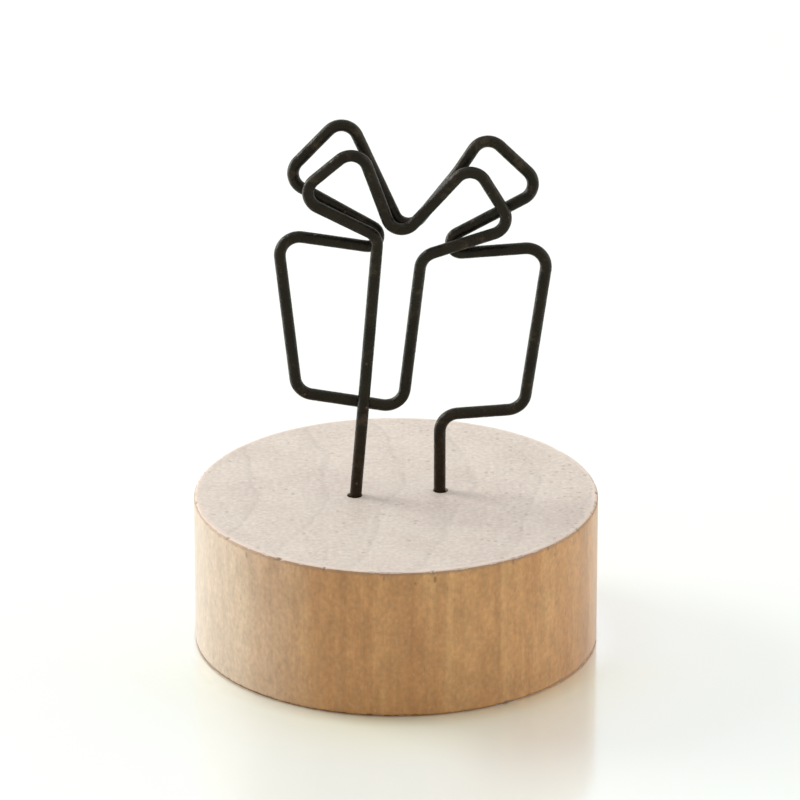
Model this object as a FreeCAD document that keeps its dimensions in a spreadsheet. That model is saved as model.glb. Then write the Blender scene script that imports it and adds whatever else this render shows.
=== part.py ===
import FreeCAD, Part
import math
import os
from collections import namedtuple

import Sketcher

# Photo holder: one length of iron wire on a round block of wood.
#
# The wire is bent in a single stroke. It climbs out of the block, draws the
# front half of a bow, comes down as one side of the ribbon, draws the left
# part of a gift box, folds back into the larger rear half of the bow, and
# ends as the right part of the box and a second leg. The two halves of the
# bow lie one wire's thickness apart, and a photo is held between them.
#
# Millimetres. The origin is the centre of the block's underside, +Z is up,
# and the front of the figure faces -Y.

# Name, size and meaning of every driving dimension. "across" is measured to
# the right of the block's centre and "up" from its top face. The corners of
# the figure are where the centre lines of two straight runs would meet.
DIMENSIONS = (
    ("base_diameter", 50, "block, across the end grain"),
    ("base_thickness", 19, "block, along the grain"),
    ("rim_round", 0.4, "rounding of the block's two rims"),
    ("wood_under_legs", 7, "wood left below the drilled holes"),
    ("hole_clearance", 0.2, "gap all round a leg in its hole"),
    ("hole_spread", 0.12, "each hole sits this far outside its leg, so the wire grips"),
    ("drill_point_angle", 118, "point of the twist drill, degrees"),
    ("wire_diameter", 1.5, "iron wire"),
    ("layer_gap", 0.1, "gap between the front and rear layers of the figure"),
    ("wire_end_chamfer", 0.2, "burr taken off the cut ends"),
    ("rear_lean_angle", 6, "rear half of the bow leans back, degrees"),
    ("bow_inside_radius", 1.35, "inside of the bends at the tips of the bow"),
    ("fold_inside_radius", 1.1, "inside of the bends at the neck and the notches"),
    ("box_inside_radius", 1.65, "inside of the bends of the box and the ribbon"),
    ("hairpin_inside_radius", 0.55, "inside of the two hairpins"),
    ("foot_inside_radius", 3, "inside of the slight bend where the left leg leaves the wood"),
    ("rise_inside_radius", 20, "inside of the soft bend in the right side of the rear bow"),
    ("left_foot_across", -5, "left leg in the wood"),
    ("right_leg_across", 5.4, "right leg in the wood"),
    ("neck_across", -2.2, "left side of the ribbon meets the bow"),
    ("neck_up", 34.1, ""),
    ("front_left_corner_across", -12.3, "front half of the bow, left loop, outer corner"),
    ("front_left_corner_up", 39.3, ""),
    ("front_left_top_across", -4.5, "left loop, top"),
    ("front_left_top_up", 46, ""),
    ("front_notch_across", 0, "between the two loops"),
    ("front_notch_up", 33.3, ""),
    ("front_right_top_across", 9.3, "right loop, top"),
    ("front_right_top_up", 43.8, ""),
    ("front_right_corner_across", 14.4, "right loop, outer corner"),
    ("front_right_corner_up", 35.3, ""),
    ("ribbon_top_across", 3.1, "right side of the ribbon meets the bow"),
    ("ribbon_top_up", 31.5, ""),
    ("ribbon_foot_across", 0.8, "right side of the ribbon meets the bottom of the box"),
    ("ribbon_foot_up", 11, ""),
    ("box_left_foot_across", -12.2, "box, lower left corner"),
    ("box_left_foot_up", 13.1, ""),
    ("box_left_top_across", -14.5, "box, upper left corner"),
    ("box_left_top_up", 33.9, ""),
    ("left_hairpin_across", 3.3, "top of the box folds back into the rear bow"),
    ("left_hairpin_up", 31.2, ""),
    ("rear_left_corner_across", -13.8, "rear half of the bow, left loop, outer corner"),
    ("rear_left_corner_up", 40.9, ""),
    ("rear_left_top_across", -6, "left loop, top"),
    ("rear_left_top_up", 48.9, ""),
    ("rear_notch_across", 1.1, "between the two loops"),
    ("rear_notch_up", 33.5, ""),
    ("rear_right_rise_across", 7.5, "soft bend in the right loop's inner side"),
    ("rear_right_rise_up", 41.5, ""),
    ("rear_right_top_across", 10.8, "right loop, top"),
    ("rear_right_top_up", 46.5, ""),
    ("rear_right_corner_across", 18.1, "right loop, outer corner"),
    ("rear_right_corner_up", 39.6, ""),
    ("right_hairpin_across", 2, "rear bow folds back into the top of the box"),
    ("right_hairpin_up", 30.9, ""),
    ("box_right_top_across", 18.7, "box, upper right corner"),
    ("box_right_top_up", 32.2, ""),
    ("box_right_foot_across", 15.7, "box, lower right corner"),
    ("box_right_foot_up", 10.9, ""),
    ("right_knee_up", 10.1, "bottom of the box turns down into the right leg"),
)

# A bend may take up to this share of the shorter run beside it.
BEND_SHARE = 0.48

doc = FreeCAD.newDocument("photo_holder")


def make_sheet():
    """The spreadsheet of driving dimensions: name, size, meaning."""
    cells = doc.addObject("Spreadsheet::Sheet", "sizes")
    for row, (alias, value, meaning) in enumerate(DIMENSIONS, start=1):
        cells.set(f"A{row}", alias)
        cells.set(f"B{row}", str(value))
        cells.setAlias(f"B{row}", alias)
        cells.set(f"C{row}", meaning)
    doc.recompute()
    return cells


sheet = make_sheet()


def size(alias):
    """A driving dimension as a number."""
    return float(sheet.get(alias))


def make_body(label):
    """An empty body that is named for its piece."""
    body = doc.addObject("PartDesign::Body", label)
    body.Label = label
    body.Placement = FreeCAD.Placement()
    return body


def make_level_sketch(body, name, height):
    """A sketch that lies level in the body, at a height given as an expression."""
    level = next(plane for plane in body.Origin.OriginFeatures if plane.Role == "XY_Plane")
    sketch = body.newObject("Sketcher::SketchObject", name)
    sketch.AttachmentSupport = [(level, "")]
    sketch.MapMode = "FlatFace"
    sketch.setExpression(".AttachmentOffset.Base.z", height)
    return sketch


def draw_circle(sketch, radius, across="0", depth="0"):
    """A circle whose radius and centre are bound to expressions."""
    circle = sketch.addGeometry(Part.Circle(FreeCAD.Vector(), FreeCAD.Vector(0, 0, 1), 1), False)
    bindings = (
        (Sketcher.Constraint("Radius", circle, 1), radius),
        (Sketcher.Constraint("DistanceX", -1, 1, circle, 3, 0), across),
        (Sketcher.Constraint("DistanceY", -1, 1, circle, 3, 0), depth),
    )
    for constraint, expression in bindings:
        index = sketch.addConstraint(constraint)
        sketch.setExpression(f"Constraints[{index}]", expression)


def edges_at_heights(shape, heights):
    """Names of the edges that lie level at one of the given heights."""
    names = []
    for number, edge in enumerate(shape.Edges, start=1):
        low, high = edge.BoundBox.ZMin, edge.BoundBox.ZMax
        if any(math.isclose(low, z, abs_tol=1e-4) and math.isclose(high, z, abs_tol=1e-4) for z in heights):
            names.append(f"Edge{number}")
    return names


LEG_RADIUS = "sizes.wire_diameter / 2"
FRONT_LAYER = "-(sizes.wire_diameter + sizes.layer_gap) / 2"
REAR_LAYER = "(sizes.wire_diameter + sizes.layer_gap) / 2"


def make_base():
    """The block: a disc with eased rims and two blind holes for the legs."""
    body = make_body("wood_base")

    outline = make_level_sketch(body, "base_outline", "0")
    draw_circle(outline, "sizes.base_diameter / 2")
    disc = body.newObject("PartDesign::Pad", "disc")
    disc.Profile = outline
    disc.setExpression("Length", "sizes.base_thickness")
    doc.recompute()

    rims = body.newObject("PartDesign::Fillet", "eased_rims")
    rims.Base = (disc, edges_at_heights(disc.Shape, (0, size("base_thickness"))))
    rims.setExpression("Radius", "sizes.rim_round")
    doc.recompute()

    centres = make_level_sketch(body, "leg_hole_centres", "sizes.base_thickness")
    bore_radius = "sizes.wire_diameter / 2 + sizes.hole_clearance"
    draw_circle(centres, bore_radius, "sizes.left_foot_across - sizes.hole_spread", FRONT_LAYER)
    draw_circle(centres, bore_radius, "sizes.right_leg_across + sizes.hole_spread", REAR_LAYER)
    doc.recompute()

    solid_volume = body.Shape.Volume
    holes = body.newObject("PartDesign::Hole", "leg_holes")
    holes.Profile = centres
    holes.ThreadType = "None"
    holes.DepthType = "Dimension"
    holes.DrillPoint = "Angled"
    holes.setExpression("Diameter", "sizes.wire_diameter + 2 * sizes.hole_clearance")
    holes.setExpression("Depth", "sizes.base_thickness - sizes.wood_under_legs")
    holes.setExpression("DrillPointAngle", "sizes.drill_point_angle")
    doc.recompute()
    if body.Shape.Volume >= solid_volume:
        raise RuntimeError("the leg holes cut nothing")
    return body


# A corner of the figure, with the radius of its bend on the wire's centre line.
Corner = namedtuple("Corner", "place bend")


def route_corners():
    """The wire's corners in order, from the end of one leg to the end of the other."""
    half_wire = size("wire_diameter") / 2
    front = -(half_wire + size("layer_gap") / 2)
    rear = -front
    top_face = size("base_thickness")
    leg_end = size("wood_under_legs") - top_face
    bow = size("bow_inside_radius") + half_wire
    fold = size("fold_inside_radius") + half_wire
    box = size("box_inside_radius") + half_wire
    hairpin = size("hairpin_inside_radius") + half_wire
    foot = size("foot_inside_radius") + half_wire
    rise = size("rise_inside_radius") + half_wire
    lean = math.tan(math.radians(size("rear_lean_angle")))

    def corner(across, depth, up, bend):
        return Corner(FreeCAD.Vector(across, depth, top_face + up), bend)

    def named(name, depth, bend):
        return corner(size(name + "_across"), depth, size(name + "_up"), bend)

    def leaning(name, bend):
        depth = rear + lean * (size(name + "_up") - size("rear_notch_up"))
        return named(name, depth, bend)

    return (
        corner(size("left_foot_across"), front, leg_end, 0),
        corner(size("left_foot_across"), front, 0, foot),
        named("neck", front, fold),
        named("front_left_corner", front, bow),
        named("front_left_top", front, bow),
        named("front_notch", front, fold),
        named("front_right_top", front, bow),
        named("front_right_corner", front, bow),
        named("ribbon_top", front, box),
        named("ribbon_foot", rear, box),
        named("box_left_foot", rear, box),
        named("box_left_top", rear, box),
        named("left_hairpin", rear, hairpin),
        leaning("rear_left_corner", bow),
        leaning("rear_left_top", bow),
        named("rear_notch", rear, fold),
        leaning("rear_right_rise", rise),
        leaning("rear_right_top", bow),
        leaning("rear_right_corner", bow),
        named("right_hairpin", rear, hairpin),
        named("box_right_top", rear, box),
        named("box_right_foot", rear, box),
        corner(size("right_leg_across"), rear, size("right_knee_up"), box),
        corner(size("right_leg_across"), rear, leg_end, 0),
    )


def bend_at(before, corner, after):
    """The arc that rounds a corner: its start, middle and end."""
    back = before.place - corner.place
    ahead = after.place - corner.place
    half_angle = back.getAngle(ahead) / 2
    room = BEND_SHARE * min(back.Length, ahead.Length)
    setback = min(corner.bend / math.tan(half_angle), room)
    radius = setback * math.tan(half_angle)
    back.normalize()
    ahead.normalize()
    inwards = (back + ahead).normalize()
    middle_depth = radius / math.sin(half_angle) - radius
    start = corner.place + back * setback
    middle = corner.place + inwards * middle_depth
    end = corner.place + ahead * setback
    return start, middle, end


def make_route():
    """The wire's centre line: straight runs joined by tangent arcs."""
    corners = route_corners()
    edges = []
    reached = corners[0].place
    for before, corner, after in zip(corners, corners[1:], corners[2:]):
        start, middle, end = bend_at(before, corner, after)
        edges.append(Part.LineSegment(reached, start).toShape())
        edges.append(Part.Arc(start, middle, end).toShape())
        reached = end
    edges.append(Part.LineSegment(reached, corners[-1].place).toShape())
    route = doc.addObject("Part::Feature", "wire_route")
    route.Shape = Part.Wire(edges)
    return route


def make_wire():
    """The wire: a round section carried along the route, with its ends deburred."""
    route = make_route()
    body = make_body("bent_wire")

    section = make_level_sketch(body, "wire_section", "sizes.wood_under_legs")
    draw_circle(section, LEG_RADIUS, "sizes.left_foot_across", FRONT_LAYER)
    doc.recompute()

    rod = body.newObject("PartDesign::AdditivePipe", "rod")
    rod.Profile = section
    rod.Spine = (route, [f"Edge{number}" for number in range(1, len(route.Shape.Edges) + 1)])
    doc.recompute()

    ends = body.newObject("PartDesign::Chamfer", "deburred_ends")
    ends.Base = (rod, edges_at_heights(rod.Shape, (size("wood_under_legs"),)))
    ends.setExpression("Size", "sizes.wire_end_chamfer")
    doc.recompute()

    swept = route.Shape.Length * math.pi * size("wire_diameter") ** 2 / 4
    print(f"wire length {route.Shape.Length:.1f} mm, swept {swept:.1f} mm3, solid {body.Shape.Volume:.1f} mm3")
    return body


def check_document(pieces):
    """Stop if any object failed or any piece is not one sound solid."""
    for item in doc.Objects:
        if "Invalid" in item.State or "Error" in item.State:
            raise RuntimeError(f"{item.Name} failed: {item.State}")
    for piece in pieces:
        shape = piece.Shape
        if shape.isNull() or not shape.isValid() or len(shape.Solids) != 1:
            raise RuntimeError(f"{piece.Label} is not one sound solid")


pieces = (make_base(), make_wire())
doc.recompute()
check_document(pieces)

os.makedirs("parts", exist_ok=True)
for piece in pieces:
    piece.Shape.exportStep(f"parts/{piece.Label}.step")
    print(f"{piece.Label}: {piece.Shape.Volume:.1f} mm3, {len(piece.Shape.Faces)} faces")
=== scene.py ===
"""Looks of a small photo holder: a round block of wood with one bent wire.

Shapes are in metres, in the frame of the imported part: the origin is the
centre of the block's underside, +Z is up and the figure faces -Y. Finishes
are measured in millimetres.
"""

import logging
import math
import random
from dataclasses import dataclass, field
from enum import Enum
from typing import Any, Optional

import bpy
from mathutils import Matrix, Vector, noise


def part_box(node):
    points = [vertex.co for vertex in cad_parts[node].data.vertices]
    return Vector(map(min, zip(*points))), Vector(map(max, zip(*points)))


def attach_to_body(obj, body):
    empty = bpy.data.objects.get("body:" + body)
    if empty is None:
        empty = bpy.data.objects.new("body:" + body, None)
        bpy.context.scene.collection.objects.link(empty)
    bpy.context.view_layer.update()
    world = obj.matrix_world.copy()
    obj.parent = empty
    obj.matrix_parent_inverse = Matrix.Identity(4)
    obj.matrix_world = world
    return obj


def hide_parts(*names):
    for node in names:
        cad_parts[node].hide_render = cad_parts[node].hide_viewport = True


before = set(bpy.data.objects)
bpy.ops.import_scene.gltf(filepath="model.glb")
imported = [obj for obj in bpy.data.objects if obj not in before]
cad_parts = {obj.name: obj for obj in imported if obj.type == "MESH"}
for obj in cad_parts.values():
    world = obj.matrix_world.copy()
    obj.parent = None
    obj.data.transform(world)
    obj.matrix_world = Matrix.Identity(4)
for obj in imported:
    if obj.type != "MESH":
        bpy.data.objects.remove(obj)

LOG = logging.getLogger("photo_holder")
MM = 0.001
PER_MM = 1000.0
ROOT = "root"
WEAR = "wear"
FOOT = 25.0  # radius of the block's foot, in millimetres

Colour = tuple[float, float, float]
Point = tuple[float, float, float]


class Layer(Enum):
    """Where a corner of the wire lies; the rear layer leans back in the bow."""

    FRONT = "front"
    REAR = "rear"
    LEANING = "leaning"


class Bend(Enum):
    """Radius of the wire's centre line in each kind of bend, in millimetres."""

    END = 0.0
    HAIRPIN = 1.3
    FOLD = 1.85
    BOW = 2.1
    BOX = 2.4
    FOOT = 3.75
    RISE = 20.75


class Face(Enum):
    """Number of the finish on each kind of face of the block."""

    FLAT = 0
    SIDE = 1
    HOLE = 2


@dataclass(frozen=True)
class Fade:
    """Smooth change from start to end while a value goes from low to high."""

    low: float
    high: float
    start: float = 0.0
    end: float = 1.0


@dataclass(frozen=True)
class Cloud:
    """Noise: cells to the millimetre, octaves, weight of the fine ones, factor on the height, span kept."""

    scale: float
    detail: float = 3.0
    roughness: float = 0.5
    squeeze: float = 1.0
    span: Optional[Fade] = None


@dataclass(frozen=True)
class Drift:
    """Change of tone: cells to the millimetre, full swing, factor on the height."""

    scale: float
    amount: float
    squeeze: float = 1.0


@dataclass(frozen=True)
class Specks:
    """Specks: cells to the millimetre, reach within a cell, share of the cells, and how much they show."""

    scale: float
    size: float
    share: float
    strength: float
    squeeze: float = 1.0
    shift: Point = (0.0, 0.0, 0.0)


class Nodes:
    """Adds and links nodes in one node tree."""

    def __init__(self, tree: Any) -> None:
        """Keep the tree.

        Args:
            tree: A shader or geometry node tree.
        """
        self.tree = tree

    def add(self, kind: str, inputs: Optional[dict] = None, **settings: Any) -> Any:
        """Add one node.

        Args:
            kind: The node's type name.
            inputs: Socket name or number to a value, or to a socket to link from.
            **settings: Attributes set on the node before its inputs.

        Returns:
            The new node.
        """
        node = self.tree.nodes.new(kind)
        for name, value in settings.items():
            setattr(node, name, value)
        for key, value in (inputs or {}).items():
            self.feed(node.inputs[key], value)
        return node

    def feed(self, socket: Any, value: Any) -> None:
        """Link a socket to another, or set its own value.

        Args:
            socket: The input socket.
            value: An output socket, or a plain value.
        """
        if isinstance(value, bpy.types.NodeSocket):
            self.tree.links.new(value, socket)
        elif isinstance(value, tuple) and len(value) == 3 and socket.type == "RGBA":
            socket.default_value = (*value, 1.0)
        else:
            socket.default_value = value

    def math(self, operation: str, *values: Any, clamp: bool = False) -> Any:
        """Add a Math node.

        Args:
            operation: The node's operation.
            *values: Numbers or sockets, in order.
            clamp: Whether the result is kept within 0 and 1.

        Returns:
            The output socket.
        """
        inputs = dict(enumerate(values))
        return self.add("ShaderNodeMath", inputs, operation=operation, use_clamp=clamp).outputs[0]

    def times(self, first: Any, second: Any) -> Any:
        """Multiply two values.

        Args:
            first: A socket.
            second: A number or a socket.

        Returns:
            The output socket.
        """
        return self.math("MULTIPLY", first, second)

    def plus(self, first: Any, second: Any) -> Any:
        """Add two values.

        Args:
            first: A socket.
            second: A number or a socket.

        Returns:
            The output socket.
        """
        return self.math("ADD", first, second)

    def swing(self, factor: Any, reach: float) -> Any:
        """Turn a factor from 0 to 1 into a swing to both sides of zero.

        Args:
            factor: The factor socket.
            reach: How far the result goes to each side.

        Returns:
            The output socket.
        """
        return self.math("MULTIPLY_ADD", factor, 2.0 * reach, -reach)

    def ramp(self, value: Any, fade: Fade) -> Any:
        """Map a span of a value smoothly to another span.

        Args:
            value: The socket to map.
            fade: The two spans.

        Returns:
            The output socket.
        """
        spans = {"From Min": fade.low, "From Max": fade.high, "To Min": fade.start, "To Max": fade.end}
        inputs = {"Value": value, **spans}
        return self.add("ShaderNodeMapRange", inputs, interpolation_type="SMOOTHSTEP").outputs["Result"]

    def mix(self, share: Any, first: Any, second: Any, blend: str = "MIX") -> Any:
        """Mix two colours.

        Args:
            share: How much of the second colour.
            first: The colour underneath.
            second: The colour on top.
            blend: The blending mode.

        Returns:
            The output socket.
        """
        node = self.add("ShaderNodeMix", data_type="RGBA", blend_type=blend)
        self.feed(node.inputs["Factor"], share)
        self.feed(node.inputs[6], first)
        self.feed(node.inputs[7], second)
        return node.outputs[2]

    def scaled(self, place: Any, scale: Point, shift: Point = (0.0, 0.0, 0.0)) -> Any:
        """Scale and shift a coordinate.

        Args:
            place: The coordinate socket.
            scale: Factor along each axis.
            shift: Shift along each axis.

        Returns:
            The mapped coordinate socket.
        """
        return self.add("ShaderNodeMapping", {"Vector": place, "Scale": scale, "Location": shift}).outputs[0]

    def drawn(self, place: Any, squeeze: float, shift: Point = (0.0, 0.0, 0.0)) -> Any:
        """Draw a pattern out upright, which is the way that the grain runs.

        Args:
            place: The coordinate socket.
            squeeze: Factor on the height.
            shift: Shift along each axis.

        Returns:
            The coordinate socket, the same one where nothing changes.
        """
        if squeeze == 1.0 and not any(shift):
            return place
        return self.scaled(place, (1.0, 1.0, squeeze), shift)

    def noise(self, place: Any, cloud: Cloud) -> Any:
        """Add a noise texture.

        Args:
            place: The coordinate socket.
            cloud: The noise.

        Returns:
            The factor socket, or the kept span of it.
        """
        inputs = {"Scale": cloud.scale, "Detail": cloud.detail, "Roughness": cloud.roughness}
        inputs["Vector"] = self.drawn(place, cloud.squeeze)
        factor = self.add("ShaderNodeTexNoise", inputs).outputs["Fac"]
        return self.ramp(factor, cloud.span) if cloud.span else factor

    def length(self, place: Any) -> Any:
        """Distance from the origin.

        Args:
            place: The coordinate socket.

        Returns:
            The distance socket.
        """
        return self.add("ShaderNodeVectorMath", {0: place}, operation="LENGTH").outputs["Value"]

    def axes(self, place: Any) -> list:
        """Split a coordinate.

        Args:
            place: The coordinate socket.

        Returns:
            The sockets of X, Y and Z.
        """
        return list(self.add("ShaderNodeSeparateXYZ", {0: place}).outputs)


def new_group(name: str, places: tuple, values: tuple, outputs: tuple) -> tuple[Any, Nodes, Any]:
    """Start a shader node group.

    Args:
        name: The group's name.
        places: Names of the coordinates that it takes.
        values: Names of the plain values that it takes.
        outputs: Names of the plain values that it puts out.

    Returns:
        The group, its nodes and the sockets of what it takes.
    """
    group = bpy.data.node_groups.new(name, "ShaderNodeTree")
    sockets = [(title, "INPUT", "NodeSocketVector") for title in places]
    sockets += [(title, "INPUT", "NodeSocketFloat") for title in values]
    sockets += [(title, "OUTPUT", "NodeSocketFloat") for title in outputs]
    for title, side, kind in sockets:
        group.interface.new_socket(title, in_out=side, socket_type=kind)
    nodes = Nodes(group)
    return group, nodes, nodes.add("NodeGroupInput").outputs


def make_drift_group() -> Any:
    """Slow change of tone over a surface.

    Returns:
        A group that puts out a factor about 1, to multiply a colour by.
    """
    group, nodes, given = new_group("tone_drift", ("Place",), ("Scale", "Amount"), ("Tone",))
    inputs = {"Vector": given["Place"], "Scale": given["Scale"], "Detail": 4.0}
    cloud = nodes.add("ShaderNodeTexNoise", inputs).outputs["Fac"]
    centred = nodes.math("SUBTRACT", cloud, 0.5)
    tone = nodes.plus(nodes.times(centred, given["Amount"]), 1.0)
    nodes.add("NodeGroupOutput", {"Tone": tone})
    return group


def make_speck_group() -> Any:
    """Small scattered specks, such as pores, flecks and nicks.

    Returns:
        A group that puts out a mask, 1 in a speck and 0 beside it.
    """
    crispness = 9.0
    group, nodes, given = new_group("scattered_specks", ("Place",), ("Scale", "Size", "Share"), ("Mask",))
    cells = nodes.add("ShaderNodeTexVoronoi", {"Vector": given["Place"], "Scale": given["Scale"]})
    edge = nodes.math("SUBTRACT", given["Size"], cells.outputs["Distance"])
    inside = nodes.math("MULTIPLY", edge, crispness, clamp=True)
    pick = nodes.add("ShaderNodeSeparateColor", {"Color": cells.outputs["Color"]}).outputs["Red"]
    chosen = nodes.math("LESS_THAN", pick, given["Share"])
    nodes.add("NodeGroupOutput", {"Mask": nodes.times(inside, chosen)})
    return group


def make_ring_group() -> Any:
    """Growth rings: upright cylinders about the tree's pith, a little wavy.

    Returns:
        A group that puts out how late in its year the wood grew, 0 to 1,
        and the thin line that closes each ring.
    """
    change_with_height = 0.02
    sway = Cloud(0.06, 1.5)
    late_rise, late_fall = Fade(0.25, 0.92), Fade(0.93, 1.0, 1.0, 0.0)
    line_rise, line_fall = Fade(0.86, 0.95), Fade(0.95, 1.0, 1.0, 0.0)
    taken = ("Place", "Pith"), ("Spacing", "Waviness")
    group, nodes, given = new_group("growth_rings", *taken, ("Late", "Line"))
    flat = nodes.drawn(given["Place"], change_with_height)
    apart = nodes.add("ShaderNodeVectorMath", {0: flat, 1: given["Pith"]}, operation="DISTANCE")
    sideways = nodes.times(nodes.noise(flat, sway), given["Waviness"])
    wavy = nodes.plus(apart.outputs["Value"], sideways)
    phase = nodes.math("FRACT", nodes.math("DIVIDE", wavy, given["Spacing"]))
    late = nodes.times(nodes.ramp(phase, late_rise), nodes.ramp(phase, late_fall))
    line = nodes.times(nodes.ramp(phase, line_rise), nodes.ramp(phase, line_fall))
    nodes.add("NodeGroupOutput", {"Late": late, "Line": line})
    return group


@dataclass(frozen=True)
class Effects:
    """The node groups that several finishes share."""

    drift: Any
    specks: Any
    rings: Any

    def tone(self, nodes: Nodes, place: Any, drift: Drift) -> Any:
        """Place the slow change of tone.

        Args:
            nodes: The material's nodes.
            place: Coordinate socket, in millimetres.
            drift: The change of tone.

        Returns:
            The factor socket.
        """
        inputs = {"Place": nodes.drawn(place, drift.squeeze), "Scale": drift.scale, "Amount": drift.amount}
        return nodes.add("ShaderNodeGroup", inputs, node_tree=self.drift).outputs["Tone"]

    def speck(self, nodes: Nodes, place: Any, specks: Specks, share: Any = None) -> Any:
        """Place scattered specks.

        Args:
            nodes: The material's nodes.
            place: Coordinate socket, in millimetres.
            specks: The specks.
            share: Socket for the share of the cells, where it varies.

        Returns:
            The mask socket.
        """
        inputs = {
            "Place": nodes.drawn(place, specks.squeeze, specks.shift),
            "Scale": specks.scale,
            "Size": specks.size,
            "Share": specks.share if share is None else share,
        }
        return nodes.add("ShaderNodeGroup", inputs, node_tree=self.specks).outputs["Mask"]


@dataclass(frozen=True)
class Tree:
    """How the block sat in the tree, in millimetres."""

    pith: Point = (-55.0, 5.0, 0.0)
    ring_spacing: float = 8.6
    waviness: float = 9.0

    def grow(self, nodes: Nodes, effects: Effects, place: Any) -> tuple[Any, Any]:
        """Place the growth rings, which all wood finishes share.

        Args:
            nodes: The material's nodes.
            effects: The shared node groups.
            place: Coordinate socket, in millimetres.

        Returns:
            The sockets that are 1 in late wood and on a ring's closing line.
        """
        inputs = {"Place": place, "Pith": self.pith, "Spacing": self.ring_spacing, "Waviness": self.waviness}
        node = nodes.add("ShaderNodeGroup", inputs, node_tree=effects.rings)
        return node.outputs["Late"], node.outputs["Line"]


def blank_material(name: str) -> tuple[Any, Nodes, Any]:
    """Start a material without a shader.

    Args:
        name: The material's name.

    Returns:
        The material, its nodes, and the object coordinates in millimetres.
    """
    material = bpy.data.materials.new(name)
    material.use_nodes = True
    material.node_tree.nodes.clear()
    nodes = Nodes(material.node_tree)
    place = nodes.add("ShaderNodeTexCoord").outputs["Object"]
    return material, nodes, nodes.scaled(place, (PER_MM, PER_MM, PER_MM))


def start_material(name: str) -> tuple[Any, Nodes, Any, Any]:
    """Start a material with one Principled shader.

    Args:
        name: The material's name.

    Returns:
        The material, its nodes, its shader, and the object coordinates in
        millimetres.
    """
    material, nodes, place = blank_material(name)
    shader = nodes.add("ShaderNodeBsdfPrincipled")
    nodes.add("ShaderNodeOutputMaterial", {"Surface": shader.outputs[0]})
    return material, nodes, shader, place


def tint(nodes: Nodes, colour: Any, *tones: Any) -> Any:
    """Multiply a colour by grey tones.

    Args:
        nodes: The material's nodes.
        colour: The colour socket or value.
        *tones: Factor sockets.

    Returns:
        The toned colour socket.
    """
    for tone in tones:
        grey = nodes.add("ShaderNodeCombineColor", {"Red": tone, "Green": tone, "Blue": tone}).outputs[0]
        colour = nodes.mix(1.0, colour, grey, "MULTIPLY")
    return colour


def wear_mask(nodes: Nodes) -> Any:
    """Where the block's rims are dented.

    Args:
        nodes: The material's nodes.

    Returns:
        The mask socket, from the mesh's own attribute.
    """
    return nodes.add("ShaderNodeAttribute", attribute_name=WEAR).outputs["Fac"]


def relief(nodes: Nodes, shader: Any, height: Any, depth: float) -> None:
    """Give a material its fine relief.

    Args:
        nodes: The material's nodes.
        shader: The Principled shader.
        height: The height socket, from 0 to 1.
        depth: What a height of 1 stands for, in metres.
    """
    bump = nodes.add("ShaderNodeBump", {"Height": height, "Distance": depth, "Strength": 1.0})
    nodes.feed(shader.inputs["Normal"], bump.outputs[0])


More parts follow.
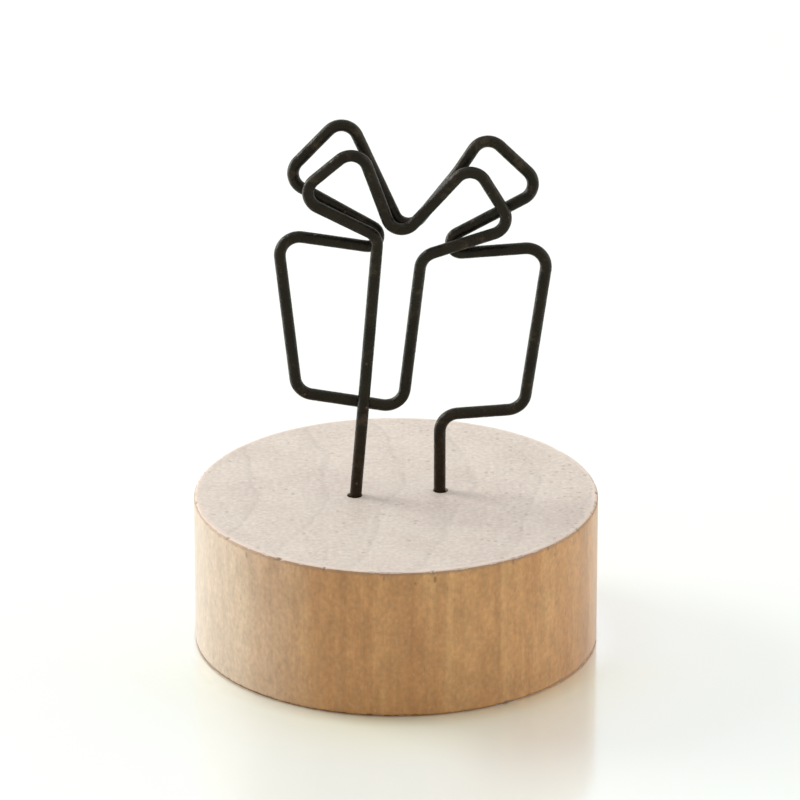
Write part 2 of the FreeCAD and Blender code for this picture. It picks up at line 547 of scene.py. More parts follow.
@dataclass(frozen=True)
class EndGrain:
    """Fine-sanded end grain of the block's flat faces. Places are in millimetres."""

    pale: Colour = (0.70, 0.615, 0.53)
    rosy: Colour = (0.65, 0.555, 0.485)
    pore: Colour = (0.36, 0.28, 0.21)
    light: Colour = (0.84, 0.77, 0.69)
    # Pale pinkish colour just inside the top's rim: painted highlight on the rim
    edge: Colour = (0.80, 0.66, 0.56)
    bruise: Colour = (0.22, 0.12, 0.065)
    blush: Cloud = Cloud(0.13, 5.0, 0.65, span=Fade(0.36, 0.64))
    mottle: Drift = Drift(0.5, 0.1)
    grit: Drift = Drift(1.7, 0.5)
    line_tone: float = 0.055
    late_tone: float = 0.03
    open_side: Fade = Fade(8.0, 22.0)
    open_late: float = 0.45
    open_early: float = 0.1
    pores: Specks = Specks(scale=1.25, size=0.38, share=0.04, strength=0.8)
    fine_pores: Specks = Specks(scale=2.4, size=0.4, share=0.16, strength=0.35)
    bright_cells: Specks = Specks(scale=1.6, size=0.42, share=0.2, strength=0.3, shift=(5.0, 2.0, 0.0))
    pore_share: float = 0.5
    highlight_noise: Cloud = Cloud(1.3, 3.0, 0.6)
    highlight_wander: float = 0.7
    highlight_reach: Fade = Fade(24.1, 24.6, 0.0, 0.65)
    sanding: Cloud = Cloud(2.4, 4.0, 0.6)
    relief_depth: float = 0.03 * MM
    roughness: float = 0.5

    def make(self, effects: Effects, tree: Tree) -> Any:
        """Build the material.

        Args:
            effects: The shared node groups.
            tree: How the block sat in the tree.

        Returns:
            The material.
        """
        material, nodes, shader, place = start_material("end_grain")
        flat = nodes.drawn(place, 0.0)
        late, line = tree.grow(nodes, effects, place)
        colour = nodes.mix(nodes.noise(flat, self.blush), self.pale, self.rosy)
        mottle = effects.tone(nodes, flat, self.mottle)
        grit = effects.tone(nodes, flat, self.grit)
        rings = nodes.math("MULTIPLY_ADD", line, self.line_tone, nodes.times(late, self.late_tone))
        colour = tint(nodes, colour, mottle, grit, nodes.math("SUBTRACT", 1.0, rings))

        # The pores open up towards the right, most in the late wood
        open_side = nodes.ramp(nodes.axes(flat)[0], self.open_side)
        open_wood = nodes.plus(nodes.times(late, self.open_late), self.open_early)
        share = nodes.plus(nodes.times(open_side, open_wood), self.pores.share)
        pores = nodes.times(effects.speck(nodes, flat, self.pores, share), self.pores.strength)
        fine = nodes.times(effects.speck(nodes, flat, self.fine_pores), self.fine_pores.strength)
        holes = nodes.math("MAXIMUM", pores, fine)
        colour = nodes.mix(nodes.times(holes, self.pore_share), colour, self.pore)
        bright = effects.speck(nodes, flat, self.bright_cells)
        colour = nodes.mix(nodes.times(bright, self.bright_cells.strength), colour, self.light)

        # A pale, wandering line just inside the rim: painted highlight
        wander = nodes.swing(nodes.noise(flat, self.highlight_noise), self.highlight_wander)
        rim = nodes.plus(nodes.length(flat), wander)
        colour = nodes.mix(nodes.ramp(rim, self.highlight_reach), colour, self.edge)
        colour = nodes.mix(wear_mask(nodes), colour, self.bruise)
        nodes.feed(shader.inputs["Base Color"], colour)
        shader.inputs["Roughness"].default_value = self.roughness
        height = nodes.math("SUBTRACT", nodes.noise(flat, self.sanding), holes)
        relief(nodes, shader, height, self.relief_depth)
        return material


@dataclass(frozen=True)
class LongGrain:
    """Turned long grain round the block's side. Places are in millimetres."""

    name: str = "long_grain"
    light: Colour = (0.665, 0.363, 0.145)
    deep: Colour = (0.525, 0.248, 0.088)
    # Cream tone on the left of the side: painted highlight of the light from the left, not a sapwood streak
    painted_glare: Colour = (0.605, 0.535, 0.43)
    # Dark brown of the rings' closing lines, and of the painted shade low on the side
    ring_line_and_shade: Colour = (0.40, 0.185, 0.065)
    fleck: Colour = (0.25, 0.115, 0.045)
    shine: Colour = (0.72, 0.49, 0.29)
    bruise: Colour = (0.2, 0.1, 0.045)
    rim_brown: Colour = (0.36, 0.22, 0.125)
    # Near black brown along the foot: painted contact shadow, most on the left and front
    contact_shade: Colour = (0.13, 0.06, 0.025)
    bands: Cloud = Cloud(0.11, 2.0, 0.6, squeeze=0.12, span=Fade(0.38, 0.62))
    band_share: float = 0.7
    band_base: float = -0.12
    streaks: Cloud = Cloud(0.8, 4.0, 0.65, squeeze=0.06, span=Fade(0.32, 0.68))
    streak_share: float = 0.62
    late_share: float = 0.5
    line_share: float = 0.3
    low_shade: Fade = Fade(0.0, 11.0, 0.3, 0.0)
    glare_side: Fade = Fade(-25.0, -6.0, 0.7, 0.0)
    glare_noise: Cloud = Cloud(0.35, 3.0, 0.6, squeeze=0.12)
    glare_wander: float = 3.0
    cloudy: Drift = Drift(0.7, 0.5, squeeze=0.45)
    grit: Drift = Drift(2.0, 0.55, squeeze=0.75)
    rays: Specks = Specks(scale=1.9, size=0.42, share=0.24, strength=0.13, squeeze=0.7)
    flecks: Specks = Specks(
        scale=2.2, size=0.32, share=0.2, strength=0.18, squeeze=0.4, shift=(3.0, 7.0, 1.0)
    )
    ragged_noise: Cloud = Cloud(1.2, 4.0, 0.7)
    ragged_reach: float = 0.45
    rim_height: Fade = Fade(18.45, 18.75, 0.0, 0.6)
    torn_height: Fade = Fade(17.0, 17.8)
    torn_parts: Cloud = Cloud(0.16, 1.0, squeeze=0.12, span=Fade(0.47, 0.57))
    tears: Specks = Specks(scale=1.3, size=0.3, share=0.4, strength=0.7, squeeze=0.45)
    contact_shade_height: Fade = Fade(0.05, 0.35, 1.0, 0.0)
    contact_shade_side: Fade = Fade(-4.0, 14.0, 0.9, 0.35)
    roughness: float = 0.55
    dull_foot: Fade = Fade(0.15, 0.5)
    reflectivity: float = 0.5
    fuzz: float = 0.7
    fuzz_roughness: float = 0.35
    fuzz_height: Fade = Fade(18.45, 18.75, 1.0, 0.2)
    fibres: Cloud = Cloud(2.6, 4.0, 0.6, squeeze=0.45)
    fleck_depth: float = 0.3
    relief_depth: float = 0.035 * MM

    def make(self, effects: Effects, tree: Tree) -> Any:
        """Build the material.

        Args:
            effects: The shared node groups.
            tree: How the block sat in the tree.

        Returns:
            The material.
        """
        material, nodes, shader, place = start_material(self.name)
        across, _, up = nodes.axes(place)
        late, line = tree.grow(nodes, effects, place)
        flecks = effects.speck(nodes, place, self.flecks)

        bands = nodes.math("MULTIPLY_ADD", nodes.noise(place, self.bands), self.band_share, self.band_base)
        streaks = nodes.times(nodes.noise(place, self.streaks), self.streak_share)
        colour = nodes.mix(nodes.plus(bands, streaks), self.deep, self.light)
        colour = nodes.mix(nodes.times(late, self.late_share), colour, self.deep)
        colour = nodes.mix(nodes.times(line, self.line_share), colour, self.ring_line_and_shade)
        # Darker and redder towards the bottom: painted shade near the floor
        colour = nodes.mix(nodes.ramp(up, self.low_shade), colour, self.ring_line_and_shade)
        # Paler towards the left: painted highlight of the light from the left
        wander = nodes.swing(nodes.noise(place, self.glare_noise), self.glare_wander)
        pale = nodes.ramp(nodes.plus(across, wander), self.glare_side)
        colour = nodes.mix(pale, colour, self.painted_glare)
        cloudy = effects.tone(nodes, place, self.cloudy)
        grit = effects.tone(nodes, place, self.grit)
        colour = tint(nodes, colour, cloudy, grit)
        rays = effects.speck(nodes, place, self.rays)
        colour = nodes.mix(nodes.times(rays, self.rays.strength), colour, self.shine)
        colour = nodes.mix(nodes.times(flecks, self.flecks.strength), colour, self.fleck)

        # Both rims: a brown, torn edge above, and painted contact shadow along the foot
        ragged = nodes.plus(up, nodes.swing(nodes.noise(place, self.ragged_noise), self.ragged_reach))
        colour = nodes.mix(nodes.ramp(ragged, self.rim_height), colour, self.rim_brown)
        torn_here = nodes.times(nodes.ramp(up, self.torn_height), nodes.noise(place, self.torn_parts))
        tears = nodes.times(effects.speck(nodes, place, self.tears), torn_here)
        colour = nodes.mix(nodes.times(tears, self.tears.strength), colour, self.fleck)
        contact_shaded = nodes.times(nodes.ramp(ragged, self.contact_shade_height), nodes.ramp(across, self.contact_shade_side))
        colour = nodes.mix(contact_shaded, colour, self.contact_shade)
        colour = nodes.mix(wear_mask(nodes), colour, self.bruise)
        nodes.feed(shader.inputs["Base Color"], colour)

        shader.inputs["Roughness"].default_value = self.roughness
        foot = nodes.ramp(up, self.dull_foot)
        nodes.feed(shader.inputs["Specular IOR Level"], nodes.times(foot, self.reflectivity))
        fuzzy = nodes.times(foot, nodes.ramp(up, self.fuzz_height))
        nodes.feed(shader.inputs["Sheen Weight"], nodes.times(fuzzy, self.fuzz))
        shader.inputs["Sheen Roughness"].default_value = self.fuzz_roughness
        pits = nodes.times(flecks, self.fleck_depth)
        height = nodes.math("SUBTRACT", nodes.noise(place, self.fibres), pits)
        relief(nodes, shader, height, self.relief_depth)
        return material


@dataclass(frozen=True)
class BlackIron:
    """Blackened iron wire with a thin waxy film, rubbed a little by the bending; the warm brown low on the
    legs is painted reflection of the wood.
    """

    body: Colour = (0.0085, 0.0074, 0.0044)
    wood_reflection: Colour = (0.014, 0.0072, 0.0025)
    wood_reflection_height: Fade = Fade(20.0, 34.0, 0.85, 0.0)
    film: Drift = Drift(0.35, 2.6)
    worn: Colour = (0.105, 0.075, 0.045)
    rubbed: Cloud = Cloud(0.4, 5.0, 0.7, span=Fade(0.54, 0.7))
    rubbed_share: float = 0.4
    nicks: Specks = Specks(scale=0.8, size=0.2, share=0.12, strength=0.9)
    roughness: Cloud = Cloud(1.5, 4.0, span=Fade(0.3, 0.7, 0.2, 0.44))
    glint: Colour = (1.0, 0.87, 0.68)
    reflectivity: float = 0.2
    pitting: Cloud = Cloud(1.1, 5.0, 0.6)
    relief_depth: float = 0.16 * MM

    def make(self, effects: Effects) -> Any:
        """Build the material.

        Args:
            effects: The shared node groups.

        Returns:
            The material.
        """
        material, nodes, shader, place = start_material("black_iron")
        up = nodes.axes(place)[2]
        # Browner near the block: painted reflection of the wood on the legs
        colour = nodes.mix(nodes.ramp(up, self.wood_reflection_height), self.body, self.wood_reflection)
        colour = tint(nodes, colour, effects.tone(nodes, place, self.film))
        rubbed = nodes.times(nodes.noise(place, self.rubbed), self.rubbed_share)
        nicks = effects.speck(nodes, place, self.nicks)
        marks = nodes.math("MAXIMUM", rubbed, nodes.times(nicks, self.nicks.strength))
        nodes.feed(shader.inputs["Base Color"], nodes.mix(marks, colour, self.worn))
        nodes.feed(shader.inputs["Roughness"], nodes.noise(place, self.roughness))
        shader.inputs["Specular IOR Level"].default_value = self.reflectivity
        shader.inputs["Specular Tint"].default_value = (*self.glint, 1.0)
        height = nodes.math("SUBTRACT", nodes.noise(place, self.pitting), nicks)
        relief(nodes, shader, height, self.relief_depth)
        return material


@dataclass(frozen=True)
class StudioFloor:
    """White glossy sheet that the camera sees as bright and that keeps the shadow.

    Distances are in millimetres from the block's centre.
    """

    paper: Colour = (0.905, 0.965, 0.9)
    # Warm tint beside the block: painted reflection of the wood; brown under the rim: painted contact shadow
    warm_reflection: Colour = (0.9, 0.93, 0.6)
    under_rim_shade: Colour = (0.5, 0.3, 0.14)
    glow: Colour = (1.0, 1.0, 0.995)
    own_light: float = 0.3
    shaded: float = 0.2
    lee_front: Fade = Fade(-15.0, -4.0, 1.0, 0.0)
    lee_right: Fade = Fade(-22.0, -2.0, 0.4, 1.0)
    near: Fade = Fade(FOOT, FOOT + 6.0, 1.0, 0.0)
    reflection_reach: Fade = Fade(FOOT, FOOT + 17.0, 0.6, 0.0)
    far: Fade = Fade(90.0, 350.0)
    clear_of_foot: Fade = Fade(FOOT - 0.4, FOOT + 0.4)
    foot_gloss: Fade = Fade(FOOT, FOOT + 3.5, 0.45, 0.2)
    side_gloss: Fade = Fade(2.0, 18.0, 0.0, 0.2)
    side_gloss_end: Fade = Fade(34.0, 56.0, 1.0, 0.2)
    gloss_roughness: float = 0.13

    def make(self) -> Any:
        """Build the material.

        Returns:
            The material.
        """
        material, nodes, place = blank_material("studio_floor")
        reach = nodes.length(place)
        across, along, _ = nodes.axes(place)
        # Beside the block's front and right the floor gets a warm tint (painted reflection of the wood) and
        # less own light (painted shade); under the rim it turns brown (painted contact shadow)
        lee = nodes.times(nodes.ramp(along, self.lee_front), nodes.ramp(across, self.lee_right))
        near = nodes.times(nodes.ramp(reach, self.near), lee)
        reflection_share = nodes.times(nodes.ramp(reach, self.reflection_reach), lee)
        clear = nodes.ramp(reach, self.clear_of_foot)
        paper = nodes.mix(clear, self.under_rim_shade, nodes.mix(reflection_share, self.paper, self.warm_reflection))
        sheet = nodes.add("ShaderNodeBsdfDiffuse", {"Color": paper})

        glow = nodes.add("ShaderNodeEmission", {"Color": self.glow, "Strength": 1.0})
        lit = nodes.times(nodes.math("MULTIPLY_ADD", near, -self.shaded, self.own_light), clear)
        own = nodes.math("MAXIMUM", lit, nodes.ramp(reach, self.far))
        share = nodes.times(seen_directly(nodes), own)
        base = nodes.add("ShaderNodeMixShader", {0: share, 1: sheet.outputs[0], 2: glow.outputs[0]})

        gloss = nodes.add("ShaderNodeBsdfGlossy", {"Color": self.glow, "Roughness": self.gloss_roughness})
        beside = nodes.times(nodes.ramp(across, self.side_gloss), nodes.ramp(reach, self.side_gloss_end))
        mirrored = nodes.plus(nodes.ramp(reach, self.foot_gloss), beside)
        shown = nodes.add("ShaderNodeMixShader", {0: mirrored, 1: base.outputs[0], 2: gloss.outputs[0]})
        nodes.add("ShaderNodeOutputMaterial", {"Surface": shown.outputs[0]})
        return material


def seen_directly(nodes: Nodes) -> Any:
    """Whether a ray comes from the camera or from a mirror image.

    Args:
        nodes: The nodes of a material or the world.

    Returns:
        The socket, 1 for such a ray and 0 for others.
    """
    path = nodes.add("ShaderNodeLightPath").outputs
    return nodes.math("MAXIMUM", path["Is Camera Ray"], path["Is Glossy Ray"])


def mesh_object(name: str, vertices: list, faces: list, edges: Optional[list] = None) -> Any:
    """Make an object at the origin from plain lists.

    Args:
        name: The object's name.
        vertices: Points in metres.
        faces: Vertex numbers of each face.
        edges: Vertex numbers of each loose edge.

    Returns:
        The object, linked to the scene.
    """
    mesh = bpy.data.meshes.new(name)
    mesh.from_pydata(vertices, edges or [], faces)
    mesh.update()
    item = bpy.data.objects.new(name, mesh)
    bpy.context.scene.collection.objects.link(item)
    return item


def settle(item: Any) -> None:
    """Turn an object's modifiers into plain mesh.

    Args:
        item: The object.
    """
    graph = bpy.context.evaluated_depsgraph_get()
    shaped = item.evaluated_get(graph)
    plain = bpy.data.meshes.new_from_object(shaped, preserve_all_data_layers=True, depsgraph=graph)
    plain.name = item.name
    item.modifiers.clear()
    item.data = plain


@dataclass(frozen=True)
class Chip:
    """A small dent in the block's rim."""

    angle: float
    width: float
    depth: float
    upper: bool

    def bite(self, angle: float) -> float:
        """How deep the dent is at an angle.

        Args:
            angle: Angle round the block, in radians.

        Returns:
            The depth in metres.
        """
        apart = abs((angle - self.angle + math.pi) % math.tau - math.pi)
        if apart >= self.width:
            return 0.0
        return self.depth * 0.5 * (1.0 + math.cos(math.pi * apart / self.width))


@dataclass
class WoodBlock:
    """The turned block that the wire stands in."""

    holes: list[tuple[float, float]]
    rim_round: float = 0.4 * MM
    hole_radius: float = 0.95 * MM
    hole_depth: float = 12.0 * MM
    hole_sides: int = 48
    drill_point: float = math.radians(118.0)
    steps_round: int = 1024
    steps_rim: int = 7
    steps_side: int = 14
    chips: int = 32
    chip_widths: tuple[float, float] = (0.25 * MM, 0.8 * MM)
    chip_depths: tuple[float, float] = (0.02 * MM, 0.13 * MM)
    upper_chips: float = 0.65
    full_bruise: float = 0.12 * MM
    fray_depth: float = 0.07 * MM
    coarse_fray: float = 0.9
    fine_fray: float = 2.3
    seed: int = 11
    wobble: float = 0.015 * MM
    flat_level: float = 0.9999
    side_rim: float = 0.35
    low: Point = field(default_factory=lambda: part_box("wood_base")[0])
    high: Point = field(default_factory=lambda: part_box("wood_base")[1])

    @property
    def radius(self) -> float:
        """Radius of the block."""
        return (self.high[0] - self.low[0]) / 2.0

    @property
    def thickness(self) -> float:
        """Height of the block."""
        return self.high[2] - self.low[2]

    def profile(self) -> list[tuple[float, float, float]]:
        """The section's outline from the lower face to the upper.

        Returns:
            Radius, height and share of the rim's dents at each step.
        """
        steps = [(self.radius - 2.0 * self.rim_round, 0.0, 0.0)]
        inner = self.radius - self.rim_round
        for step in range(self.steps_rim + 1):
            turn = 0.5 * math.pi * step / self.steps_rim
            reach = inner + self.rim_round * math.sin(turn)
            steps.append((reach, self.rim_round * (1.0 - math.cos(turn)), math.sin(2.0 * turn)))
        span = self.thickness - 2.0 * self.rim_round
        for step in range(1, self.steps_side):
            steps.append((self.radius, self.rim_round + span * step / self.steps_side, 0.0))
        for step in range(self.steps_rim + 1):
            turn = 0.5 * math.pi * step / self.steps_rim
            reach = inner + self.rim_round * math.cos(turn)
            height = self.thickness - self.rim_round * (1.0 - math.sin(turn))
            steps.append((reach, height, math.sin(2.0 * turn)))
        steps.append((self.radius - 2.0 * self.rim_round, self.thickness, 0.0))
        return steps

    def make_chips(self) -> list[Chip]:
        """Choose where the rims are dented.

        Returns:
            The dents, the same each time.
        """
        dice = random.Random(self.seed)
        chips = []
        for _ in range(self.chips):
            width = dice.uniform(*self.chip_widths) / self.radius
            depth = dice.uniform(*self.chip_depths)
            angle = dice.uniform(0.0, math.tau)
            chips.append(Chip(angle, width, depth, dice.random() < self.upper_chips))
        return chips

    def fray(self, angle: float, upper: bool) -> float:
        """How far the rim's fibres are frayed at an angle.

        Args:
            angle: Angle round the block, in radians.
            upper: Whether it is the upper rim.

        Returns:
            The depth in metres.
        """
        level = 0.3 if upper else 0.7
        place = Vector((math.cos(angle), math.sin(angle), level)) * self.radius / MM
        coarse = noise.noise(place * self.coarse_fray)
        fine = noise.noise(place * self.fine_fray)
        return self.fray_depth * max(0.0, coarse + 0.5 * fine)

    def out_of_round(self, angle: float) -> float:
        """How far the side lies inside a true circle.

        Args:
            angle: Angle round the block, in radians.

        Returns:
            The depth in metres.
        """
        return self.wobble * (0.5 + 0.5 * math.sin(3.0 * angle + 1.0) * math.cos(2.0 * angle))

    def turned_shape(self) -> Any:
        """The solid block, before drilling.

        Returns:
            The object.
        """
        rows = self.profile()
        chips = self.make_chips()
        vertices = []
        wear = []
        for reach, height, dent in rows:
            upper = height > self.thickness / 2.0
            for step in range(self.steps_round):
                angle = math.tau * step / self.steps_round
                bite = sum(chip.bite(angle) for chip in chips if chip.upper == upper) * dent
                bite += self.fray(angle, upper) * dent
                radius = reach - bite - self.out_of_round(angle)
                drop = bite * 0.5 if upper else -bite * 0.5
                vertices.append((radius * math.cos(angle), radius * math.sin(angle), height - drop))
                wear.append(min(1.0, bite / self.full_bruise))
        faces = []
        count = self.steps_round
        for row in range(len(rows) - 1):
            for step in range(count):
                after = (step + 1) % count
                low, high = row * count, (row + 1) * count
                faces.append((low + step, low + after, high + after, high + step))
        faces.append(tuple(reversed(range(count))))
        faces.append(tuple(range((len(rows) - 1) * count, len(rows) * count)))
        block = mesh_object("wood_block", vertices, faces)
        block.data.attributes.new(WEAR, "FLOAT", "POINT").data.foreach_set("value", wear)
        return block

    def drill(self, place: tuple[float, float], number: int) -> Any:
        """The shape that one leg's hole removes.

        Args:
            place: The hole's centre.
            number: Number of the hole.

        Returns:
            The cutting object.
        """
        sides = self.hole_sides
        bottom = self.thickness - self.hole_depth
        tip = bottom - self.hole_radius / math.tan(self.drill_point / 2.0)
        heights = (bottom, self.thickness + self.hole_radius)
        vertices = [(place[0], place[1], tip)]
        for height in heights:
            for step in range(sides):
                angle = math.tau * step / sides
                across = place[0] + self.hole_radius * math.cos(angle)
                vertices.append((across, place[1] + self.hole_radius * math.sin(angle), height))
        faces = []
        for step in range(sides):
            here, after = 1 + step, 1 + (step + 1) % sides
            faces.append((0, after, here))
            faces.append((here, after, after + sides, here + sides))
        faces.append(tuple(range(1 + sides, 1 + 2 * sides)))
        return mesh_object(f"drill_{number}", vertices, faces)

    def build(self, end_grain: Any, long_grain: Any, hole_shade: Any) -> Any:
        """Make the block.

        Args:
            end_grain: Material of the flat faces.
            long_grain: Material of the side.
            hole_shade: Material of the holes' walls, painted near black as shade in the holes.

        Returns:
            The finished object.
        """
        block = self.turned_shape()
        cutters = [self.drill(place, number) for number, place in enumerate(self.holes, start=1)]
        for cutter in cutters:
            cut = block.modifiers.new(cutter.name, "BOOLEAN")
            cut.operation = "DIFFERENCE"
            cut.solver = "EXACT"
            cut.object = cutter
        settle(block)
        for cutter in cutters:
            bpy.data.objects.remove(cutter)
        self.dress(block, (end_grain, long_grain, hole_shade))
        return block

    def dress(self, block: Any, finishes: tuple[Any, Any, Any]) -> None:
        """Give each face its material and its shading.

        Args:
            block: The block.
            finishes: Materials of the flat faces, the side and the holes.
        """
        block.data.materials.clear()
        for finish in finishes:
            block.data.materials.append(finish)
        for face in block.data.polygons:
            level = abs(face.normal.z)
            reach = math.hypot(face.center.x, face.center.y)
            face.use_smooth = level < self.flat_level
            if reach > self.radius - self.side_rim * self.rim_round:
                face.material_index = Face.SIDE.value
            elif face.use_smooth and reach < self.radius / 2.0:
                face.material_index = Face.HOLE.value
            else:
                face.material_index = Face.FLAT.value


@dataclass(frozen=True)
class Corner:
    """A corner of the wire's figure: across and up in millimetres, its layer and its bend."""

    across: float
    up: float
    layer: Layer
    bend: Bend


@dataclass
class BentWire:
    """The wire, bent in one stroke from the left leg to the right.

    Places in the figure are in millimetres, and other sizes are in metres.
    """

    diameter: float = 1.5 * MM
    layer_gap: float = 0.1 * MM
    lean: float = math.radians(6.0)
    leg_depth: float = -12.0
    left_foot: float = -5.0
    right_leg: float = 5.4
    lean_from: float = 33.5
    hole_spread: float = 0.12 * MM
    top_face: float = field(default_factory=lambda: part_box("wood_base")[1][2])
    steps_section: int = 28
    step_length: float = 0.22 * MM
    steps_bend: int = 28
    unevenness: float = 0.04 * MM
    dents_to_mm: float = 0.35

    def corners(self) -> tuple[Corner, ...]:
        """The figure's corners in order.

        Returns:
            The corners, measured from the block's centre and its top face.
        """
        front, rear, leaning = Layer.FRONT, Layer.REAR, Layer.LEANING
        return (
            Corner(self.left_foot, self.leg_depth, front, Bend.END),
            Corner(self.left_foot, 0.0, front, Bend.FOOT),
            Corner(-2.2, 34.1, front, Bend.FOLD),
            Corner(-12.3, 39.3, front, Bend.BOW),
            Corner(-4.5, 46.0, front, Bend.BOW),
            Corner(0.0, 33.3, front, Bend.FOLD),
            Corner(9.3, 43.8, front, Bend.BOW),
            Corner(14.4, 35.3, front, Bend.BOW),
            Corner(3.1, 31.5, front, Bend.BOX),
            Corner(0.8, 11.0, rear, Bend.BOX),
            Corner(-12.2, 13.1, rear, Bend.BOX),
            Corner(-14.5, 33.9, rear, Bend.BOX),
            Corner(3.3, 31.2, rear, Bend.HAIRPIN),
            Corner(-13.8, 40.9, leaning, Bend.BOW),
            Corner(-6.0, 48.9, leaning, Bend.BOW),
            Corner(1.1, 33.5, rear, Bend.FOLD),
            Corner(7.5, 41.5, leaning, Bend.RISE),
            Corner(10.8, 46.5, leaning, Bend.BOW),
            Corner(18.1, 39.6, leaning, Bend.BOW),
            Corner(2.0, 30.9, rear, Bend.HAIRPIN),
            Corner(18.7, 32.2, rear, Bend.BOX),
            Corner(15.7, 10.9, rear, Bend.BOX),
            Corner(self.right_leg, 10.1, rear, Bend.BOX),
            Corner(self.right_leg, self.leg_depth, rear, Bend.END),
        )

    def layer_depth(self, corner: Corner) -> float:
        """Where a corner lies from front to back.

        Args:
            corner: The corner.

        Returns:
            Its Y, in metres.
        """
        rear = (self.diameter + self.layer_gap) / 2.0
        if corner.layer is Layer.FRONT:
            return -rear
        if corner.layer is Layer.REAR:
            return rear
        return rear + math.tan(self.lean) * (corner.up - self.lean_from) * MM

    def holes(self) -> list[tuple[float, float]]:
        """Centres of the two holes, each a little outside its leg.

        Returns:
            The left and the right centre.
        """
        corners = self.corners()
        left = (self.left_foot * MM - self.hole_spread, self.layer_depth(corners[0]))
        right = (self.right_leg * MM + self.hole_spread, self.layer_depth(corners[-1]))
        return [left, right]

    def settings(self) -> dict[str, float]:
        """What the Geometry Nodes take beside the route.

        Returns:
            Each input's name and value.
        """
        return {
            "Wire Radius": self.diameter / 2.0,
            "Step Length": self.step_length,
            "Steps In Bend": self.steps_bend,
            "Steps Round": self.steps_section,
            "Unevenness": self.unevenness,
        }

    def make_tree(self, material: Any) -> Any:
        """The Geometry Nodes that bend and thicken the route.

        Args:
            material: The wire's material.

        Returns:
            The node tree.
        """
        tree = bpy.data.node_groups.new("bend_wire", "GeometryNodeTree")
        tree.interface.new_socket("Route", in_out="INPUT", socket_type="NodeSocketGeometry")
        for name, value in self.settings().items():
            kind = "NodeSocketInt" if isinstance(value, int) else "NodeSocketFloat"
            tree.interface.new_socket(name, in_out="INPUT", socket_type=kind)
        tree.interface.new_socket("Wire", in_out="OUTPUT", socket_type="NodeSocketGeometry")
        nodes = Nodes(tree)
        given = nodes.add("NodeGroupInput").outputs
        bend = nodes.add("GeometryNodeInputNamedAttribute", {"Name": "bend_radius"}, data_type="FLOAT")
        line = nodes.add("GeometryNodeMeshToCurve", {"Mesh": given["Route"]})
        rounded = nodes.add("GeometryNodeFilletCurve", {"Curve": line.outputs[0]}, mode="POLY")
        nodes.feed(rounded.inputs["Count"], given["Steps In Bend"])
        nodes.feed(rounded.inputs["Radius"], bend.outputs[0])
        evened = nodes.add("GeometryNodeResampleCurve", {"Curve": rounded.outputs[0]}, mode="LENGTH")
        nodes.feed(evened.inputs["Length"], given["Step Length"])
        ring = nodes.add("GeometryNodeCurvePrimitiveCircle", mode="RADIUS")
        nodes.feed(ring.inputs["Resolution"], given["Steps Round"])
        nodes.feed(ring.inputs["Radius"], given["Wire Radius"])
        rod = nodes.add("GeometryNodeCurveToMesh", {"Curve": evened.outputs[0], "Fill Caps": True})
        nodes.feed(rod.inputs["Profile Curve"], ring.outputs[0])
        dents = nodes.add("ShaderNodeTexNoise", {"Scale": self.dents_to_mm * PER_MM, "Detail": 3.0})
        depth = nodes.times(dents.outputs["Fac"], nodes.times(given["Unevenness"], -1.0))
        inward = nodes.add("ShaderNodeVectorMath", operation="SCALE")
        nodes.feed(inward.inputs[0], nodes.add("GeometryNodeInputNormal").outputs[0])
        nodes.feed(inward.inputs["Scale"], depth)
        moved = {"Geometry": rod.outputs[0], "Offset": inward.outputs[0]}
        uneven = nodes.add("GeometryNodeSetPosition", moved)
        smooth = nodes.add("GeometryNodeSetShadeSmooth", {"Geometry": uneven.outputs[0]})
        real = nodes.add("GeometryNodeRealizeInstances", {"Geometry": smooth.outputs[0]})
        dressed = nodes.add("GeometryNodeSetMaterial", {"Geometry": real.outputs[0]})
        dressed.inputs["Material"].default_value = material
        nodes.add("NodeGroupOutput", {"Wire": dressed.outputs[0]})
        return tree

    def build(self, material: Any) -> Any:
        """Make the wire.

        Args:
            material: Its material.

        Returns:
            The finished object.
        """
        corners = self.corners()
        points = [(c.across * MM, self.layer_depth(c), self.top_face + c.up * MM) for c in corners]
        edges = [(number, number + 1) for number in range(len(points) - 1)]
        wire = mesh_object("wire_figure", points, [], edges)
        radii = wire.data.attributes.new("bend_radius", "FLOAT", "POINT")
        radii.data.foreach_set("value", [corner.bend.value * MM for corner in corners])

        tree = self.make_tree(material)
        modifier = wire.modifiers.new("bend_wire", "NODES")
        modifier.node_group = tree
        values = self.settings()
        for socket in tree.interface.items_tree:
            if socket.name in values and socket.in_out == "INPUT":
                modifier[socket.identifier] = values[socket.name]
        settle(wire)
        return wire


@dataclass(frozen=True)
class Lamp:
    """A soft rectangular lamp that points at the object."""

    name: str
    place: Point
    width: float
    height: float
    power: float

    def build(self, target: Vector) -> None:
        """Make the lamp.

        Args:
            target: The point it faces.
        """
        data = bpy.data.lights.new(self.name, "AREA")
        data.shape = "RECTANGLE"
        data.size = self.width
        data.size_y = self.height
        data.energy = self.power
        lamp = bpy.data.objects.new(self.name, data)
        bpy.context.scene.collection.objects.link(lamp)
        lamp.location = self.place
        lamp.rotation_euler = (target - Vector(self.place)).to_track_quat("-Z", "Y").to_euler()


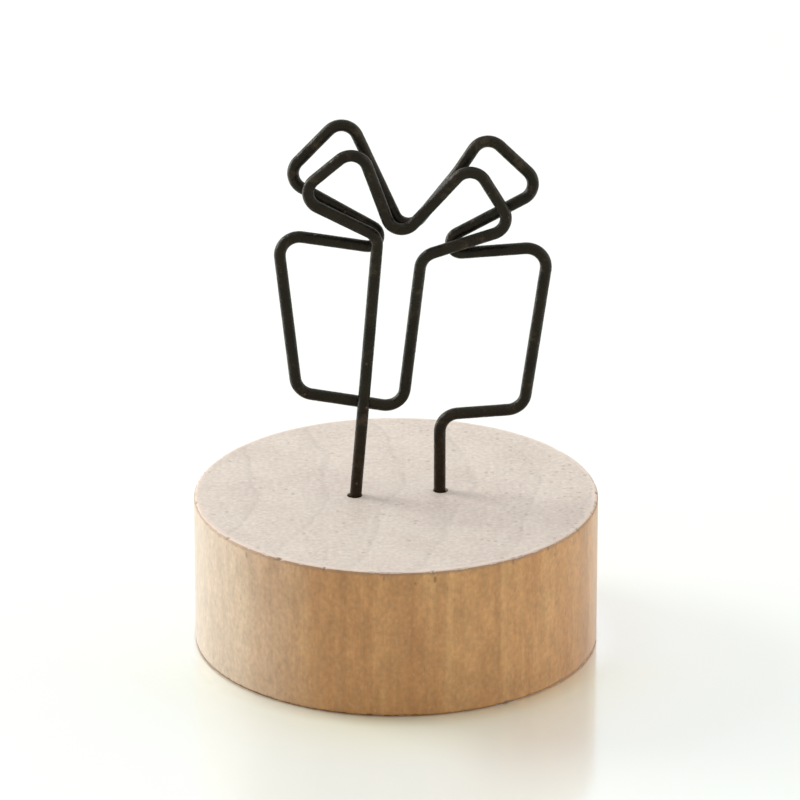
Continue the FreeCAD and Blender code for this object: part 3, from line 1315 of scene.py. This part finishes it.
@dataclass
class Studio:
    """Floor, lamps, background and camera."""

    floor_reach: float = 3.0
    target: Point = (0.0, 0.0, 0.03)
    camera_place: Point = (0.0, -0.72198, 0.32096)
    camera_aim: Point = (0.00049, 0.00443, 0.02958)
    lens: float = 284.6
    sensor: float = 36.0
    room: Fade = Fade(-0.45, 0.35, 0.41, 1.0)
    lamps: tuple[Lamp, ...] = (
        Lamp("left_window", (-0.60, 0.28, 0.26), 0.3, 0.5, 4.1),
        Lamp("right_card", (0.60, 0.0, 0.25), 0.5, 0.4, 0.8),
        Lamp("ceiling", (-0.1, 0.0, 0.8), 0.6, 0.6, 0.6),
    )

    def make_floor(self, material: Any) -> None:
        """Lay the sheet that the object stands on.

        Args:
            material: Its material.
        """
        reach = self.floor_reach
        corners = [(x * reach, y * reach, 0.0) for x, y in ((-1, -1), (1, -1), (1, 1), (-1, 1))]
        floor = mesh_object("studio_floor", corners, [(0, 1, 2, 3)])
        floor.data.materials.append(material)

    def make_world(self) -> None:
        """Light a white room, darker behind the camera, which sees it as white."""
        world = bpy.data.worlds.new("studio_world")
        bpy.context.scene.world = world
        world.use_nodes = True
        world.node_tree.nodes.clear()
        nodes = Nodes(world.node_tree)
        direction = nodes.add("ShaderNodeTexCoord").outputs["Generated"]
        room = nodes.ramp(nodes.axes(direction)[1], self.room)
        strength = nodes.math("MAXIMUM", room, seen_directly(nodes))
        light = nodes.add("ShaderNodeBackground", {"Color": (1.0, 1.0, 1.0), "Strength": strength})
        nodes.add("ShaderNodeOutputWorld", {"Surface": light.outputs[0]})

    def make_camera(self) -> None:
        """Place the camera at the photograph's viewing angle."""
        data = bpy.data.cameras.new("camera")
        data.lens = self.lens
        data.sensor_width = self.sensor
        data.clip_start = 0.05
        data.clip_end = 20.0
        camera = bpy.data.objects.new("camera", data)
        bpy.context.scene.collection.objects.link(camera)
        camera.location = self.camera_place
        line = Vector(self.camera_aim) - Vector(self.camera_place)
        camera.rotation_euler = line.to_track_quat("-Z", "Y").to_euler()
        bpy.context.scene.camera = camera

    def build(self, floor_material: Any) -> None:
        """Make the whole studio.

        Args:
            floor_material: Material of the floor.
        """
        self.make_floor(floor_material)
        self.make_world()
        for lamp in self.lamps:
            lamp.build(Vector(self.target))
        self.make_camera()
        bpy.context.scene.view_settings.view_transform = "Standard"


def attach(piece: Any, node: str) -> None:
    """Let a piece stand for its CAD node.

    Args:
        piece: The piece.
        node: The node's name.
    """
    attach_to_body(piece, ROOT)
    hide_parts(node)
    LOG.info("%s stands for %s: %d faces", piece.name, node, len(piece.data.polygons))


def main() -> None:
    """Build the object and the studio."""
    logging.basicConfig(level=logging.INFO)
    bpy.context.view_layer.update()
    effects = Effects(make_drift_group(), make_speck_group(), make_ring_group())
    tree = Tree()

    figure = BentWire()
    block = WoodBlock(figure.holes())
    # The holes' walls are near black: painted shade in the holes
    hole_shade = LongGrain(
        name="hole_shade_wood",
        light=(0.12, 0.07, 0.035),
        deep=(0.06, 0.035, 0.02),
        painted_glare=(0.1, 0.06, 0.03),
        fuzz=0.0,
    )
    wood = [finish.make(effects, tree) for finish in (EndGrain(), LongGrain(), hole_shade)]
    attach(block.build(*wood), "wood_base")
    attach(figure.build(BlackIron().make(effects)), "bent_wire")

    Studio().build(StudioFloor().make())


if __name__ == "__main__":
    main()
